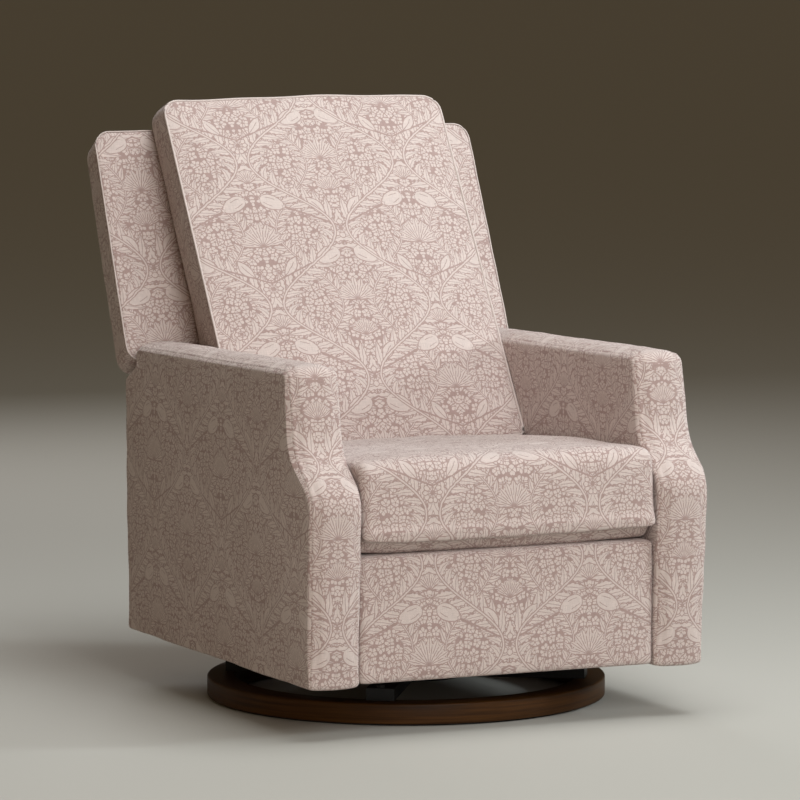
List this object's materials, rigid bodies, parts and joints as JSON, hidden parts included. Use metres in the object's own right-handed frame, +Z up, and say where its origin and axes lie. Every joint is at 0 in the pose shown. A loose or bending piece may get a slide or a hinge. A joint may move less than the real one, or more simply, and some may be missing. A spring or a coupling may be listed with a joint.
{
  "type": "glider nursery chair",
  "caption": "Upholstered swivel glider chair with a reclining winged back, fold-out footrest, padded arms and a round wooden floor ring.",
  "frame": {"origin": "middle of the chair's overall width and depth, on the floor", "axes": "+Z up, +X across the chair, -Y the way the sitter faces"},
  "size_m": [0.77, 1.0516, 1.0557],
  "materials": {
    "print_fabric": "slubbed woven cotton-linen with a tone-on-tone leaf print",
    "dark_wood": "walnut stain, satin",
    "timber": "raw plywood",
    "black_steel": "black powder coat",
    "zinc": "zinc plated",
    "rubber": "matt",
    "plastic": "moulded, fine grain"
  },
  "bodies": {
    "base": {"floor_pad": "rubber", "base_ring": "dark_wood", "base_cross": "black_steel", "ring_bolt_1": "black_steel", "ring_bolt_2": "black_steel", "ring_bolt_3": "black_steel", "ring_bolt_4": "black_steel", "bearing_lower_race": "zinc", "swivel_bolt": "zinc"},
    "swivel": {"bearing_upper_race": "zinc", "swivel_plate": "black_steel", "hanger_bracket_left": "black_steel", "hanger_bracket_right": "black_steel"},
    "front_links": {"front_glide_shaft": "zinc", "front_glide_link_left": "black_steel", "front_glide_link_right": "black_steel"},
    "rear_links": {"rear_glide_shaft": "zinc", "rear_glide_link_left": "black_steel", "rear_glide_link_right": "black_steel"},
    "seat": {"side_plate_left": "black_steel", "side_plate_right": "black_steel", "arm_spacer_left": "black_steel", "arm_spacer_right": "black_steel", "seat_side_rail_left": "timber", "seat_side_rail_right": "timber", "seat_front_rail": "timber", "seat_rear_rail": "timber", "seat_spring_1": "zinc", "seat_spring_2": "zinc", "seat_spring_3": "zinc", "seat_spring_4": "zinc", "seat_cushion": "print_fabric", "arm_left": "print_fabric", "arm_right": "print_fabric", "arm_frame_left": "timber", "arm_frame_right": "timber", "rear_panel": "print_fabric", "release_cup": "plastic"},
    "release": {"release_handle": "plastic"},
    "back": {"back_shell": "print_fabric", "back_stile_left": "timber", "back_stile_right": "timber", "back_top_rail": "timber", "back_bottom_rail": "timber", "recline_bracket_left": "black_steel", "recline_bracket_right": "black_steel", "back_cushion": "print_fabric"},
    "footrest_cranks": {"footrest_crank_left": "black_steel", "footrest_crank_right": "black_steel"},
    "footrest_guides": {"footrest_guide_left": "black_steel", "footrest_guide_right": "black_steel"},
    "footrest_arms": {"footrest_arm_left": "black_steel", "footrest_arm_right": "black_steel"},
    "footrest_rods": {"footrest_rod_left": "black_steel", "footrest_rod_right": "black_steel"},
    "footrest_panel": {"footrest_bracket_left": "black_steel", "footrest_bracket_right": "black_steel", "footrest_board": "timber", "footrest_pad": "print_fabric"}
  },
  "joints": [
    {"name": "swivel", "type": "hinge", "parent": "base", "child": "swivel", "pos_m": [0, -0.0895, 0.075], "axis": [0, 0, 1], "continuous": true},
    {"name": "glide", "type": "hinge", "parent": "swivel", "child": "rear_links", "pos_m": [0, 0.0605, 0.235], "axis": [1, 0, 0], "range_deg": [-22, 22]},
    {"name": "glide_seat", "type": "hinge", "parent": "rear_links", "child": "seat", "pos_m": [0, 0.0605, 0.125], "axis": [1, 0, 0], "range_deg": [-22, 22]},
    {"name": "glide_front", "type": "hinge", "parent": "swivel", "child": "front_links", "pos_m": [0, -0.2395, 0.235], "axis": [1, 0, 0], "range_deg": [-22, 22]},
    {"name": "recline", "type": "hinge", "parent": "seat", "child": "back", "pos_m": [0, 0.1705, 0.34], "axis": [-1, 0, 0], "range_deg": [0, 35]},
    {"name": "footrest", "type": "hinge", "parent": "seat", "child": "footrest_cranks", "pos_m": [0, -0.3045, 0.308], "axis": [-1, 0, 0], "range_deg": [0, 90]},
    {"name": "footrest_guide", "type": "hinge", "parent": "seat", "child": "footrest_guides", "pos_m": [0, -0.26144, 0.28259], "axis": [-1, 0, 0], "range_deg": [0, 90]},
    {"name": "footrest_arm", "type": "hinge", "parent": "footrest_cranks", "child": "footrest_arms", "pos_m": [0, -0.212, 0.14778], "axis": [-1, 0, 0], "range_deg": [-90, 0]},
    {"name": "footrest_panel", "type": "hinge", "parent": "footrest_arms", "child": "footrest_panel", "pos_m": [0, -0.4445, 0.285], "axis": [-1, 0, 0], "range_deg": [0, 90]},
    {"name": "footrest_rod", "type": "hinge", "parent": "footrest_cranks", "child": "footrest_rods", "pos_m": [0, -0.1945, 0.11747], "axis": [-1, 0, 0], "range_deg": [-90, 0]},
    {"name": "release", "type": "hinge", "parent": "seat", "child": "release", "pos_m": [-0.294, -0.3275, 0.567], "axis": [0, -1, 0], "range_deg": [0, 25], "stiffness_Nm_per_rad": 0.5}
  ],
  "couplings": [
    {"joint": "glide_seat", "follows": "glide", "ratio": -1},
    {"joint": "glide_front", "follows": "glide", "ratio": 1},
    {"joint": "footrest_guide", "follows": "footrest", "ratio": 1},
    {"joint": "footrest_arm", "follows": "footrest", "ratio": -1},
    {"joint": "footrest_panel", "follows": "footrest", "ratio": 1},
    {"joint": "footrest_rod", "follows": "footrest", "ratio": -1}
  ]
}
